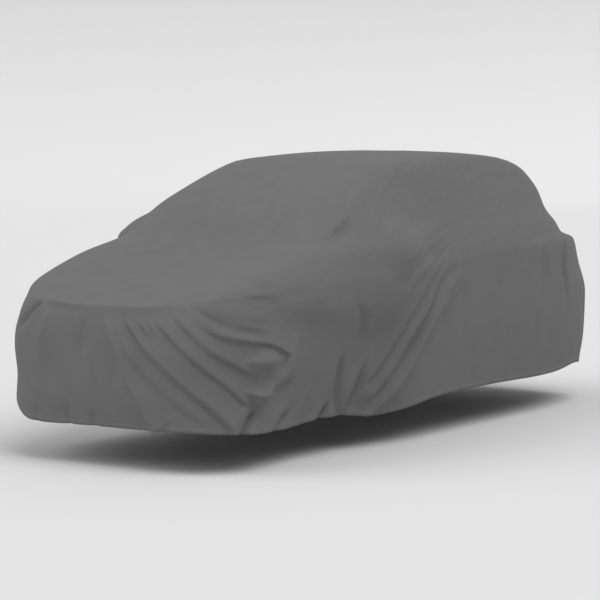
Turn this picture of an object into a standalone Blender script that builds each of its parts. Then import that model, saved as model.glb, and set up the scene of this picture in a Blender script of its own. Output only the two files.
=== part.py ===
"""Fitted cover: one cloth hanging over a hollow, as it is pulled on and left, with its folds.

Every length is in metres.  The cover's own measures are taken as a maker takes them:
x across (plus on the left side), y back from the nose, z up from the ground under the hem.
A place on the skirt is given by its run, the distance along the waist line from the middle
of the nose, plus round the left side and minus round the right, and by its height.
The finished mesh is moved so that its origin is the held point under the middle of the roof.
"""
import bmesh
import bpy
import numpy as np

# ---- driving sizes -------------------------------------------------------------------------
CLOTH_THICK = 0.003
HELD_STATION = 2.75
HELD_HEIGHT = 1.642

# One row for each level line of the cover, from the hem up.  front and rear are stations on
# the centre line and half is the half width.  nose_square and tail_square say how square the
# corners are: 2 is an ellipse.  The heights are at the nose, at the front corner, at the
# side, at the rear corner and at the tail.
#    name          front  rear   half   nose  tail   z_nose z_front z_side z_back z_tail
LEVELS = (
    ("hem",        0.035, 4.255, 0.872, 5.5,  5.8,   0.222, 0.210,  0.240, 0.240, 0.235),
    ("low skirt",  0.010, 4.285, 0.886, 4.8,  5.8,   0.400, 0.420,  0.440, 0.440, 0.450),
    ("waist",      0.010, 4.285, 0.898, 5.0,  5.7,   0.600, 0.625,  0.660, 0.705, 0.700),
    ("under edge", 0.026, 4.225, 0.894, 4.5,  5.2,   0.775, 0.795,  0.870, 0.920, 0.900),
    ("edge",       0.056, 4.165, 0.892, 4.1,  5.0,   0.842, 0.895,  0.990, 1.065, 1.040),
    ("over edge",  0.150, 4.065, 0.875, 4.7,  4.5,   0.880, 0.945,  1.070, 1.110, 1.070),
    ("slope foot", 0.545, 4.010, 0.842, 5.4,  4.4,   0.970, 1.070,  1.155, 1.180, 1.125),
    ("slope",      0.975, 3.935, 0.786, 6.2,  4.3,   1.080, 1.165,  1.260, 1.265, 1.230),
    ("high slope", 1.395, 3.875, 0.724, 5.8,  4.4,   1.350, 1.400,  1.390, 1.390, 1.370),
    ("roof edge",  1.920, 3.710, 0.628, 5.0,  4.5,   1.560, 1.585,  1.555, 1.535, 1.500),
    ("roof side",  2.150, 3.490, 0.576, 4.4,  4.1,   1.605, 1.606,  1.612, 1.592, 1.570),
    ("roof",       2.400, 3.200, 0.380, 3.2,  3.2,   1.628, 1.630,  1.634, 1.626, 1.620),
    ("crown",      2.600, 2.950, 0.150, 2.4,  2.4,   1.638, 1.639,  1.641, 1.639, 1.638),
)
CORNER_ANGLES = np.array([0.0, 45.0, 90.0, 135.0, 180.0])
WAIST_LEVEL = 2
TOP_START = 4.3
TOP_FULL = 5.6

# Folds of the skirt.  rise is how far the cloth stands out along the fold's line, minus where
# it dips in, and step is how much further out it stands on the left of the line than on its
# right, seen from outside and from the first stop to the last.  width is how far the fold
# reaches to each side.  crisp is 0 for a rounded fold and 1 for a pinched one.  start and end
# are the shares of its length over which it dies out at either end.  The stops of its line are
# its run and height.
#    name                 rise    step   width  crisp start end   run and height of each stop
SKIRT_FOLDS = (
    ("nose edge",           0.016,   0.000, 0.036, 1.0, 0.10, 0.30,
     (-0.43, 0.866), (-0.10, 0.846), (0.25, 0.852), (0.60, 0.886)),
    ("nose corner dip",    -0.020,   0.000, 0.034, 0.8, 0.12, 0.30,
     (-0.43, 0.862), (-0.50, 0.815), (-0.58, 0.750), (-0.68, 0.680)),
    ("nose corner rib",     0.018,   0.000, 0.055, 0.3, 0.25, 0.60,
     (-0.36, 0.850), (-0.38, 0.680), (-0.42, 0.440)),
    ("nose dip",           -0.014,   0.000, 0.055, 0.2, 0.30, 0.50,
     (-0.13, 0.820), (-0.10, 0.680), (-0.12, 0.450)),
    ("fan rib",             0.016,   0.000, 0.060, 0.3, 0.30, 0.05,
     (0.04, 0.810), (0.10, 0.690), (0.20, 0.530), (0.31, 0.370), (0.41, 0.200)),
    ("fan edge",            0.000,   0.006, 0.050, 0.8, 0.30, 0.30,
     (0.02, 0.820), (0.07, 0.710), (0.13, 0.610), (0.19, 0.480)),
    ("low fan",             0.000,   0.010, 0.055, 1.0, 0.15, 0.02,
     (0.18, 0.475), (0.27, 0.380), (0.31, 0.310), (0.37, 0.200)),
    ("fan 1",               0.000,   0.011, 0.075, 0.7, 0.35, 0.15,
     (0.09, 0.820), (0.18, 0.640), (0.33, 0.500), (0.51, 0.360), (0.70, 0.220)),
    ("fan 2",               0.000,   0.013, 0.075, 1.0, 0.20, 0.03,
     (0.14, 0.820), (0.32, 0.640), (0.50, 0.500), (0.66, 0.360), (0.82, 0.220)),
    ("fan 3",               0.000,   0.007, 0.034, 0.8, 0.30, 0.40,
     (0.24, 0.800), (0.32, 0.735), (0.41, 0.665)),
    ("fan 4",               0.000,   0.006, 0.030, 0.8, 0.30, 0.40,
     (0.31, 0.790), (0.36, 0.740), (0.41, 0.700)),
    ("fan 5",               0.000,   0.010, 0.058, 1.0, 0.20, 0.05,
     (0.34, 0.820), (0.50, 0.680), (0.64, 0.560), (0.78, 0.450), (0.89, 0.350)),
    ("fan 6",               0.000,   0.011, 0.058, 0.8, 0.25, 0.25,
     (0.43, 0.860), (0.57, 0.735), (0.70, 0.630), (0.84, 0.552), (0.98, 0.470)),
    ("fan 7",               0.000,   0.013, 0.046, 1.0, 0.35, 0.06,
     (0.56, 0.810), (0.74, 0.710), (0.88, 0.686), (1.04, 0.664), (1.21, 0.588)),
    ("fan 7 shoulder",      0.000,  -0.026, 0.050, 0.6, 0.25, 0.30,
     (0.51, 0.885), (0.66, 0.800), (0.80, 0.735), (0.95, 0.705), (1.08, 0.690)),
    ("fan panel",           0.036,   0.000, 0.048, 0.4, 0.40, 0.35,
     (0.84, 0.590), (0.98, 0.585), (1.13, 0.570)),
    ("tongue",              0.056,   0.000, 0.038, 0.6, 0.40, 0.40,
     (0.85, 0.435), (0.97, 0.415), (1.09, 0.440)),
    ("tongue edge",         0.000,   0.022, 0.110, 0.7, 0.30, 0.30,
     (0.84, 0.372), (0.97, 0.376), (1.09, 0.425), (1.19, 0.458), (1.34, 0.468)),
    ("corner patch",       -0.012,   0.000, 0.036, 0.5, 0.40, 0.40,
     (1.20, 0.590), (1.16, 0.555), (1.12, 0.505)),
    ("corner turn",         0.000,  -0.012, 0.100, 0.2, 0.40, 0.40,
     (1.26, 0.700), (1.28, 0.600), (1.24, 0.440)),
    ("hem tuck 1",         -0.034,   0.000, 0.030, 0.7, 0.30, 0.02,
     (0.96, 0.340), (0.91, 0.275), (0.86, 0.180)),
    ("hem tuck 2",         -0.028,   0.000, 0.036, 0.5, 0.35, 0.02,
     (1.32, 0.330), (1.21, 0.250), (1.12, 0.180)),
    ("hem slit",           -0.044,   0.000, 0.028, 0.8, 0.40, 0.02,
     (1.66, 0.320), (1.61, 0.240), (1.55, 0.180)),
    ("shoulder tuck 1",     0.000,   0.006, 0.050, 0.3, 0.40, 0.40,
     (0.68, 1.000), (0.88, 0.975), (1.08, 0.940)),
    ("shoulder tuck 2",     0.000,   0.006, 0.045, 0.4, 0.40, 0.40,
     (0.80, 0.915), (0.96, 0.900), (1.14, 0.885)),
    ("shoulder tuck 3",     0.000,   0.005, 0.036, 0.4, 0.40, 0.40,
     (0.82, 0.765), (0.92, 0.755), (1.04, 0.735)),
    ("brow",                0.000,   0.044, 0.270, 0.2, 0.30, 0.30,
     (0.82, 0.855), (1.36, 0.785), (1.78, 0.715), (2.06, 0.735), (2.50, 0.720)),
    ("hollow",             -0.120,   0.000, 0.420, 0.0, 0.35, 0.34,
     (2.50, 0.100), (1.90, 0.140), (1.40, 0.160), (0.86, 0.160)),
    ("hollow fold 1",      -0.016,   0.000, 0.040, 0.6, 0.30, 0.40,
     (1.73, 0.850), (1.81, 0.720), (1.85, 0.570)),
    ("hollow fold 2",      -0.026,   0.000, 0.036, 0.7, 0.30, 0.10,
     (1.70, 0.580), (1.72, 0.460), (1.73, 0.340), (1.76, 0.190)),
    ("hollow fold 3",      -0.030,   0.000, 0.040, 0.7, 0.30, 0.05,
     (1.94, 0.520), (1.90, 0.390), (1.84, 0.260), (1.80, 0.190)),
    ("hollow rib",          0.014,   0.000, 0.050, 0.3, 0.30, 0.10,
     (1.91, 0.560), (1.85, 0.420), (1.77, 0.280), (1.69, 0.200)),
    ("side dip 1",         -0.018,   0.000, 0.060, 0.3, 0.40, 0.35,
     (2.80, 1.220), (2.60, 1.130), (2.38, 1.050), (2.18, 0.970), (1.94, 0.870)),
    ("side rib 1",          0.018,   0.000, 0.055, 0.3, 0.30, 0.30,
     (2.72, 1.130), (2.50, 1.050), (2.23, 0.960), (2.08, 0.840)),
    ("side line 1",         0.000,  -0.018, 0.065, 1.0, 0.40, 0.10,
     (2.87, 1.090), (2.48, 0.945), (2.26, 0.760), (2.12, 0.560), (1.94, 0.370)),
    ("side rib 2",          0.030,   0.000, 0.060, 0.3, 0.35, 0.10,
     (2.61, 0.900), (2.42, 0.770), (2.23, 0.600), (2.13, 0.460), (1.93, 0.280)),
    ("side dip 2",         -0.022,   0.000, 0.032, 0.7, 0.35, 0.10,
     (2.91, 1.020), (2.62, 0.880), (2.41, 0.660), (2.21, 0.480), (2.00, 0.280)),
    ("side rib 3",          0.028,   0.000, 0.040, 0.4, 0.35, 0.02,
     (3.01, 0.990), (2.72, 0.850), (2.47, 0.660), (2.27, 0.450), (1.96, 0.200)),
    ("side fall",           0.000,  -0.018, 0.110, 0.5, 0.35, 0.05,
     (3.02, 0.940), (2.80, 0.800), (2.54, 0.600), (2.34, 0.400), (2.10, 0.200)),
    ("side shade",          0.000,  -0.010, 0.080, 0.2, 0.40, 0.40,
     (2.82, 1.270), (2.45, 1.200), (2.15, 1.150), (1.93, 1.110)),
    ("rear side dip",      -0.014,   0.000, 0.065, 0.2, 0.30, 0.40,
     (4.04, 1.060), (3.93, 0.900), (3.88, 0.620)),
    ("rear corner line",   -0.024,   0.000, 0.036, 0.9, 0.20, 0.40,
     (4.44, 1.100), (4.28, 0.900), (4.22, 0.620)),
)
# The skirt's folds die out above these levels, at the nose and at the side.  The side begins and
# is full at these angles from the nose or from the tail.
SKIRT_TOP_NOSE = 4.3
SKIRT_TOP_SIDE = 7.2
SKIRT_TOP_FADE = 1.3
SIDE_START = 38.0
SIDE_FULL = 62.0

# Folds that only the right side's hang gives, at its own runs.
RIGHT_SHARE = 0.85
RIGHT_SHIFT = 0.12
RIGHT_REPEATS = ("brow", "hollow", "side", "rear")

# Soft folds of the tail and of the right side, whose runs are counted as the skirt's are.
TAIL_FOLDS = (
    ("tail dip 1",         -0.013,   0.000, 0.060, 0.3, 0.30, 0.05,
     (4.95, 0.860), (4.98, 0.620), (5.04, 0.180)),
    ("tail rib",            0.011,   0.000, 0.070, 0.1, 0.30, 0.05,
     (5.32, 0.800), (5.36, 0.580), (5.34, 0.180)),
    ("tail dip 2",         -0.011,   0.000, 0.060, 0.3, 0.30, 0.05,
     (-5.42, 0.900), (-5.36, 0.640), (-5.30, 0.180)),
    ("tail dip 3",         -0.014,   0.000, 0.060, 0.4, 0.30, 0.05,
     (-4.86, 0.880), (-4.92, 0.600), (-5.00, 0.180)),
    ("tail fall 1",        -0.018,   0.000, 0.055, 0.5, 0.35, 0.05,
     (4.60, 0.880), (4.64, 0.620), (4.72, 0.180)),
    ("tail sweep 1",        0.000,   0.016, 0.080, 0.8, 0.30, 0.40,
     (4.72, 0.930), (5.00, 0.800), (5.36, 0.740)),
    ("tail sweep 2",        0.000,  -0.016, 0.080, 0.8, 0.30, 0.40,
     (-4.70, 0.920), (-4.96, 0.780), (-5.24, 0.710)),
    ("tail fall 2",        -0.020,   0.000, 0.055, 0.5, 0.35, 0.05,
     (-4.60, 0.860), (-4.64, 0.600), (-4.70, 0.180)),
    ("right sweep 1",       0.000,   0.018, 0.090, 0.8, 0.35, 0.40,
     (-4.22, 0.960), (-3.92, 0.800), (-3.55, 0.620), (-3.20, 0.500)),
    ("right sweep 2",       0.000,   0.018, 0.090, 0.8, 0.35, 0.20,
     (-4.26, 0.760), (-3.98, 0.560), (-3.66, 0.380), (-3.44, 0.220)),
    ("right sweep 3",       0.000,   0.013, 0.070, 0.7, 0.35, 0.40,
     (-4.05, 1.080), (-3.70, 0.980), (-3.30, 0.900)),
    ("right fall 1",        0.000,  -0.014, 0.080, 0.8, 0.35, 0.10,
     (-0.84, 0.820), (-0.98, 0.640), (-1.16, 0.460), (-1.38, 0.240)),
    ("right fall 2",        0.000,  -0.014, 0.080, 0.8, 0.35, 0.30,
     (-0.92, 0.900), (-1.12, 0.740), (-1.32, 0.600), (-1.50, 0.440)),
    ("right fall 3",       -0.018,   0.000, 0.045, 0.5, 0.35, 0.05,
     (-0.72, 0.700), (-0.76, 0.500), (-0.84, 0.180)),
)

# Folds of the top, whose stops are x across and y back.
TOP_FOLDS = (
    ("slope foot dip",      0.000,   0.011, 0.062, 0.3, 0.40, 0.40,
     (0.655, 1.100), (0.660, 1.200), (0.670, 1.290), (0.705, 1.390)),
    ("slope foot rib",      0.000,  -0.013, 0.066, 0.3, 0.40, 0.40,
     (0.740, 1.080), (0.738, 1.200), (0.722, 1.310)),
    ("foot panel",          0.009,   0.000, 0.050, 0.2, 0.40, 0.40,
     (0.650, 0.900), (0.725, 0.980), (0.745, 1.090)),
    ("slope wrinkle",       0.000,  -0.006, 0.030, 0.6, 0.30, 0.30,
     (0.63, 1.550), (0.66, 1.585), (0.69, 1.625)),
    ("roof edge line",      0.000,   0.006, 0.045, 0.7, 0.30, 0.50,
     (0.700, 1.600), (0.665, 1.850), (0.605, 2.080), (0.500, 2.420)),
    ("right slope dip",     0.000,  -0.010, 0.060, 0.4, 0.30, 0.30,
     (-0.660, 1.180), (-0.680, 1.340), (-0.700, 1.500)),
    ("right roof line",     0.000,  -0.006, 0.045, 0.6, 0.30, 0.50,
     (-0.700, 1.600), (-0.665, 1.850), (-0.605, 2.080), (-0.500, 2.420)),
)

# Where the cloth is held out at each side, like a tent: how far out, its place, how far the
# tent spreads ahead, behind, up and down, and how peaked it is.
TENTS = (
    ("left tent",        0.085, 1.53, 1.12, 0.50, 0.70, 0.34, 0.60, 1.5),
    ("left tent tip",    0.065, 1.53, 1.15, 0.22, 0.30, 0.15, 0.20, 1.0),
    ("right tent",      -0.060, 1.53, 1.10, 0.46, 0.60, 0.30, 0.50, 1.5),
    ("right tent tip",  -0.120, 1.44, 1.18, 0.15, 0.36, 0.11, 0.12, 0.6),
)
TENT_ROUND = 0.22

# How the hem rises and falls from its even line: the rise, minus where it drops, the run and
# the length to each side.
HEM_SWAY = (
    ("left front drop", -0.022, 1.30, 0.30),
    ("nose lift",        0.014, 0.55, 0.30),
    ("left sill drop",  -0.055, 2.12, 0.34),
    ("left rear drop",  -0.010, 3.90, 0.40),
    ("left rear corner", 0.020, 4.48, 0.20),
    ("nose corner lift", 0.022, -0.66, 0.12),
    ("right corner lift", 0.085, -0.79, 0.13),
    ("right side lift",  0.060, -1.02, 0.24),
    ("right low lift",   0.030, -1.36, 0.36),
)

# The cloth is drawn with more columns where its folds lie closer together.
COLUMN_COUNT = 136
COLUMN_CLOSENESS = (
    (-5.58, 0.9), (-4.80, 1.2), (-4.20, 1.2), (-3.60, 0.8), (-2.80, 1.2), (-1.40, 1.4), (-0.70, 1.4),
    (0.00, 1.9), (0.40, 2.4), (1.30, 2.4), (1.60, 2.0), (2.60, 1.9), (3.00, 1.0), (3.80, 0.9),
    (4.15, 1.7), (4.50, 1.7), (4.80, 1.0), (5.58, 0.9),
)
SKIRT_LEVELS = 11
UPPER_LEVELS = 7
ROOF_LEVELS = 5
CROWN_LEVELS = 2
UPPER_START = 5.0
ROOF_START = 8.4
CROWN_START = 11.0
FINE_ANGLES = 2881
PROBE_ANGLE = 0.25
PROBE_LEVEL = 0.02

# The form of a fold across its line, in shares of its width.  A fold starts thin and has its
# full width from GROWN on.  A pinched step stands up at once and falls back slowly.
FOLD_STEPS = 12
THIN_START = 0.45
GROWN = 0.5
SOFT_FOLD = 1.6
CRISP_FOLD = 0.15
FOLD_FALL = 1.7
LIP_REACH = 2.3
LIP_SHARE = 0.45
SOFT_STEP = 0.60
CRISP_STEP = 0.08
STEP_FALL = 2.0


def smooth_curve(knots, values, where):
    """Values read off a smooth curve through the knots, which never swings past them."""
    knots = np.asarray(knots, float)
    values = np.asarray(values, float)
    where = np.clip(where, knots[0], knots[-1])
    steps = np.diff(knots)
    rises = np.diff(values) / steps
    slopes = np.zeros(len(knots))
    before, after = rises[:-1], rises[1:]
    same = before * after > 0
    total = np.where(same, before + after, 1.0)
    slopes[1:-1] = np.where(same, 2 * before * after / total, 0.0)
    slopes[0] = rises[0]
    slopes[-1] = rises[-1]
    span = np.clip(np.searchsorted(knots, where, side="right") - 1, 0, len(steps) - 1)
    step = steps[span]
    part = (where - knots[span]) / step
    hold = 2 * part**3 - 3 * part**2 + 1
    lead = part**3 - 2 * part**2 + part
    trail = part**3 - part**2
    return (
        hold * values[span]
        + lead * step * slopes[span]
        + (1 - hold) * values[span + 1]
        + trail * step * slopes[span + 1]
    )


def height_round(angle, heights):
    """Height on a level line at an angle, from its five heights."""
    turned = np.abs((angle + 180.0) % 360.0 - 180.0)
    span = np.clip(np.searchsorted(CORNER_ANGLES, turned, side="right") - 1, 0, 3)
    part = (turned - CORNER_ANGLES[span]) / CORNER_ANGLES[1]
    slopes = np.zeros_like(heights)
    slopes[1:-1] = (heights[2:] - heights[:-2]) / 2

    def pick(values, place):
        return np.take_along_axis(values, place[None], 0)[0]

    hold = 2 * part**3 - 3 * part**2 + 1
    return (
        hold * pick(heights, span)
        + (part**3 - 2 * part**2 + part) * pick(slopes, span)
        + (1 - hold) * pick(heights, span + 1)
        + (part**3 - part**2) * pick(slopes, span + 1)
    )


def plain_form(angle, level):
    """The cover drawn tight, without folds: points at angles and levels of one shape.

    The angle is 0 at the nose, 90 on the left and 180 at the tail, and the level counts the
    rows of LEVELS from the hem up.
    """
    table = np.array([row[1:] for row in LEVELS])
    rows = np.arange(len(LEVELS))
    sizes = [smooth_curve(rows, table[:, column], level) for column in range(table.shape[1])]
    front, rear, half, nose_square, tail_square = sizes[:5]
    across = np.sin(np.radians(angle))
    ahead = np.cos(np.radians(angle))
    square = np.where(ahead > 0, nose_square, tail_square)
    reach = (np.abs(across) ** square + np.abs(ahead) ** square) ** (-1 / square)
    x = half * across * reach
    y = (front + rear) / 2 - (rear - front) / 2 * ahead * reach
    z = height_round(angle, np.stack(sizes[5:]))
    return np.stack([x, y, z], -1)


def waist_runs():
    """Fine angles all round, and the run of the waist line at each."""
    angles = np.linspace(-180.0, 180.0, FINE_ANGLES)
    waist = plain_form(angles, np.full(FINE_ANGLES, float(WAIST_LEVEL)))[:, :2]
    lengths = np.linalg.norm(np.diff(waist, axis=0), axis=1)
    runs = np.concatenate([[0.0], np.cumsum(lengths)])
    return angles, runs - runs[-1] / 2


def outward(angle, level):
    """Unit normals of the plain form, facing out."""
    side_step = plain_form(angle + PROBE_ANGLE, level) - plain_form(angle - PROBE_ANGLE, level)
    above = np.minimum(level + PROBE_LEVEL, len(LEVELS) - 1.0)
    below = np.maximum(level - PROBE_LEVEL, 0.0)
    up_step = plain_form(angle, above) - plain_form(angle, below)
    normal = np.cross(side_step, up_step)
    return normal / np.linalg.norm(normal, axis=-1, keepdims=True)


def fold_line(stops):
    """Points along a fold, on a smooth line through its stops."""
    knots = np.linspace(0.0, 1.0, len(stops))
    shares = np.linspace(0.0, 1.0, FOLD_STEPS + 1)
    return np.stack([smooth_curve(knots, [stop[axis] for stop in stops], shares) for axis in (0, 1)], -1)


def fold_relief(places, fold):
    """How far one fold moves the cloth at places given by two coordinates.

    A rise has low lips beside it, and a step falls back to nothing on both its sides.
    """
    name, rise, step, width, crisp, start, end, *stops = fold
    line = fold_line(stops)
    nearest = np.full(places.shape[:-1], np.inf)
    along = np.zeros(places.shape[:-1])
    side = np.zeros(places.shape[:-1])
    for index, (first, last) in enumerate(zip(line, line[1:])):
        reach = last - first
        offset = places - first
        share = np.clip(offset @ reach / (reach @ reach), 0.0, 1.0)
        distance = np.linalg.norm(offset - share[..., None] * reach, axis=-1)
        closer = distance < nearest
        nearest = np.where(closer, distance, nearest)
        along = np.where(closer, (index + share) / FOLD_STEPS, along)
        side = np.where(closer, reach[0] * offset[..., 1] - reach[1] * offset[..., 0], side)
    across = nearest / (width * (THIN_START + (1 - THIN_START) * smooth_step(0.0, GROWN, along)))
    fade = smooth_step(0.0, start, along) * smooth_step(0.0, end, 1 - along)
    softness = SOFT_FOLD + (CRISP_FOLD - SOFT_FOLD) * crisp
    ridge = np.exp(softness - np.sqrt((FOLD_FALL * across) ** 2 + softness**2))
    lips = np.exp(-((across / LIP_REACH) ** 2))
    steepness = SOFT_STEP + (CRISP_STEP - SOFT_STEP) * crisp
    flank = np.tanh(across / steepness) * np.exp(-(across ** (STEP_FALL - crisp))) * np.sign(side)
    return fade * (rise * ((1 + LIP_SHARE) * ridge - LIP_SHARE * lips) + step * flank)


def smooth_step(low, high, value):
    """0 below low, 1 above high and a smooth rise between."""
    part = np.clip((value - low) / (high - low), 0.0, 1.0)
    return part * part * (3 - 2 * part)


def right_side_folds():
    """The left side's own folds repeated on the right, a little further back and softer."""
    folds = []
    for name, rise, step, width, crisp, start, end, *stops in SKIRT_FOLDS:
        if name.startswith(RIGHT_REPEATS):
            turned = [(-run - RIGHT_SHIFT, height) for run, height in stops]
            sizes = (rise * RIGHT_SHARE, -step * RIGHT_SHARE, width, crisp, start, end)
            folds.append(("right " + name, *sizes, *turned))
    return folds


def tent_push(points):
    """How far across the cloth is pushed by the tents."""
    push = np.zeros(points.shape[:-1])
    for name, out, station, height, ahead, behind, up, down, peak in TENTS:
        along = points[..., 1] - station
        climb = points[..., 2] - height
        reach_y = along / np.where(along < 0, ahead, behind)
        reach_z = climb / np.where(climb < 0, down, up)
        far = np.sqrt(reach_y**2 + reach_z**2 + TENT_ROUND**2) - TENT_ROUND
        share = np.clip(1 - far, 0.0, 1.0)
        share = share * share * (3 - 2 * share)
        push += np.where(points[..., 0] * out > 0, out * share**peak, 0.0)
    return push


def folded_form(angle, level):
    """The cover as it hangs: the plain form with its sway, tents and folds."""
    angles, runs = waist_runs()
    run = np.interp(angle, angles, runs)
    points = plain_form(angle, level)
    turn = np.minimum(np.abs(angle), 180.0 - np.abs(angle))
    side = smooth_step(SIDE_START, SIDE_FULL, turn)
    limit = SKIRT_TOP_NOSE + (SKIRT_TOP_SIDE - SKIRT_TOP_NOSE) * side
    skirt = 1 - smooth_step(limit, limit + SKIRT_TOP_FADE, level)
    top = smooth_step(TOP_START, TOP_FULL, level)
    relief = np.zeros(level.shape)
    skirt_places = np.stack([run, points[..., 2]], -1)
    for fold in (*SKIRT_FOLDS, *right_side_folds(), *TAIL_FOLDS):
        relief += skirt * fold_relief(skirt_places, fold)
    for fold in TOP_FOLDS:
        relief += top * fold_relief(points[..., :2], fold)
    folded = points + relief[..., None] * outward(angle, level)
    folded[..., 0] += tent_push(points)
    for name, rise, place, length in HEM_SWAY:
        share = np.exp(-(((run - place) / length) ** 2))
        folded[..., 2] += rise * share * (1 - smooth_step(0.0, WAIST_LEVEL, level))
    return folded


def column_angles(count):
    """Angles of the columns, closer together where COLUMN_CLOSENESS says so."""
    angles, runs = waist_runs()
    places = [place for place, close in COLUMN_CLOSENESS]
    close = np.interp(runs, places, [close for place, close in COLUMN_CLOSENESS])
    filled = np.concatenate([[0.0], np.cumsum((close[1:] + close[:-1]) / 2 * np.diff(runs))])
    wanted = np.arange(count) / count * filled[-1]
    return np.interp(wanted, filled, angles)


def level_rows():
    """Each row's level, and how many columns are left out between two that are kept."""
    skirt = [(level, 1) for level in np.linspace(0.0, UPPER_START, SKIRT_LEVELS, endpoint=False)]
    upper = [(level, 1) for level in np.linspace(UPPER_START, ROOF_START, UPPER_LEVELS, endpoint=False)]
    roof = [(level, 2) for level in np.linspace(ROOF_START, CROWN_START, ROOF_LEVELS, endpoint=False)]
    crown = [(level, 4) for level in np.linspace(CROWN_START, len(LEVELS) - 1.0, CROWN_LEVELS)]
    return skirt + upper + roof + crown


def sheet_mesh():
    """The cloth as a single sheet, in columns from the hem up that thin out over the roof."""
    mesh = bmesh.new()
    angles = column_angles(COLUMN_COUNT)
    rings = []
    for level, stride in level_rows():
        kept = angles[::stride]
        places = folded_form(kept, np.full(len(kept), level))
        places -= (0.0, HELD_STATION, HELD_HEIGHT)
        rings.append([mesh.verts.new(place) for place in places])
    for low, high in zip(rings, rings[1:]):
        join_rings(mesh, low, high)
    close_crown(mesh, rings[-1])
    return mesh


def join_rings(mesh, low, high):
    """Faces between two rows, the upper with as many columns or half as many."""
    count = len(high)
    ratio = len(low) // count
    for index in range(count):
        here, there = high[index], high[(index + 1) % count]
        if ratio == 1:
            mesh.faces.new((low[index], low[(index + 1) % count], there, here))
            continue
        first, middle, last = low[2 * index], low[2 * index + 1], low[(2 * index + 2) % len(low)]
        mesh.faces.new((first, middle, here))
        mesh.faces.new((middle, last, there))
        mesh.faces.new((middle, there, here))


def close_crown(mesh, ring):
    """Faces from the last row to the middle of the roof."""
    height = sum(vert.co.z for vert in ring) / len(ring)
    middle = mesh.verts.new((0.0, 0.0, height))
    for index, vert in enumerate(ring):
        mesh.faces.new((vert, ring[(index + 1) % len(ring)], middle))


def cloth_material():
    """Plain grey woven polyester."""
    material = bpy.data.materials.new("grey_polyester")
    material.use_nodes = True
    shader = material.node_tree.nodes["Principled BSDF"]
    shader.inputs["Base Color"].default_value = (0.135, 0.135, 0.137, 1.0)
    shader.inputs["Roughness"].default_value = 0.85
    shader.inputs["Metallic"].default_value = 0.0
    return material


def build_cover():
    """The cover's one cloth, given its thickness inwards."""
    mesh = bpy.data.meshes.new("cover_cloth")
    sheet = sheet_mesh()
    sheet.to_mesh(mesh)
    sheet.free()
    cover = bpy.data.objects.new("cover_cloth", mesh)
    bpy.context.collection.objects.link(cover)
    mesh.materials.append(cloth_material())
    mesh.shade_smooth()
    thick = cover.modifiers.new("thickness", "SOLIDIFY")
    thick.thickness = CLOTH_THICK
    thick.offset = -1.0
    thick.use_even_offset = True
    return cover


for old in list(bpy.data.objects):
    bpy.data.objects.remove(old)
build_cover()
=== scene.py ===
"""Fitted outdoor cover, dressed for the studio: one woven cloth that hangs in pulled folds.

The cloth is drawn in a maker's measures, in metres: across (plus on its left side), back from
the nose, and up from the ground under the hem.  A place on the skirt is given by its run, the
distance along the waist line from the middle of the nose, plus round the left side, and by its
height.  The finished piece is moved so that its origin is the held point under the roof.
"""

import logging
import math
from dataclasses import dataclass, replace
from enum import Enum
from functools import cached_property
from typing import Iterable

import bmesh
import bpy
import numpy as np
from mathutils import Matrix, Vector


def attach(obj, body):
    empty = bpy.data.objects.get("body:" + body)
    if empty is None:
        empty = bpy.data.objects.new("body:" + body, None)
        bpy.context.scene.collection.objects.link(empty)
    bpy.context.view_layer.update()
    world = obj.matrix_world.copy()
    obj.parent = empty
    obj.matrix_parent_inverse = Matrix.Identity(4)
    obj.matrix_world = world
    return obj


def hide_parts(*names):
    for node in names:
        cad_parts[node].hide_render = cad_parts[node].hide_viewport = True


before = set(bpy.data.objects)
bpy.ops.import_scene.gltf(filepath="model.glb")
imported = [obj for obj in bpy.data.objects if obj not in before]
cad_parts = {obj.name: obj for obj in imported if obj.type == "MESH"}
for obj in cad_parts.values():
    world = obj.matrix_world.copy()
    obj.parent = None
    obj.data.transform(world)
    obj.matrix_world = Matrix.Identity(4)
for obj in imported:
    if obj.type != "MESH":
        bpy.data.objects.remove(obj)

LOG = logging.getLogger("cover")

# The held point under the roof, back from the nose and up from the ground.
HELD_STATION = 2.75
HELD_HEIGHT = 1.642

Array = np.ndarray
Stops = tuple[tuple[float, float], ...]


class Zone(Enum):
    """Which two measures the stops of a fold are given in."""

    SKIRT = "run and height"
    TOP = "across and back"


def smooth_step(low: float | Array, high: float | Array, value: Array) -> Array:
    """Rise smoothly from 0 to 1.

    Args:
        low: Where the rise begins.
        high: Where it is full.
        value: The places to read it at.

    Returns:
        0 below low, 1 above high, and a smooth rise between.
    """
    part = np.clip((value - low) / (high - low), 0.0, 1.0)
    return part * part * (3 - 2 * part)


def smooth_curve(knots: Iterable[float], values: Iterable[float], where: Array) -> Array:
    """Read a smooth curve that never swings past its knots.

    Args:
        knots: The knots' places, rising.
        values: The value at each knot.
        where: The places to read the curve at.

    Returns:
        The curve's value at each place.
    """
    knots = np.asarray(knots, float)
    values = np.asarray(values, float)
    where = np.clip(where, knots[0], knots[-1])
    steps = np.diff(knots)
    rises = np.diff(values) / steps
    slopes = np.zeros(len(knots))
    before, after = rises[:-1], rises[1:]
    same = before * after > 0
    total = np.where(same, before + after, 1.0)
    slopes[1:-1] = np.where(same, 2 * before * after / total, 0.0)
    slopes[0] = rises[0]
    slopes[-1] = rises[-1]
    span = np.clip(np.searchsorted(knots, where, side="right") - 1, 0, len(steps) - 1)
    part = (where - knots[span]) / steps[span]
    hold = 2 * part**3 - 3 * part**2 + 1
    lead = (part**3 - 2 * part**2 + part) * steps[span]
    trail = (part**3 - part**2) * steps[span]
    return (
        hold * values[span]
        + lead * slopes[span]
        + (1 - hold) * values[span + 1]
        + trail * slopes[span + 1]
    )


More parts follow.
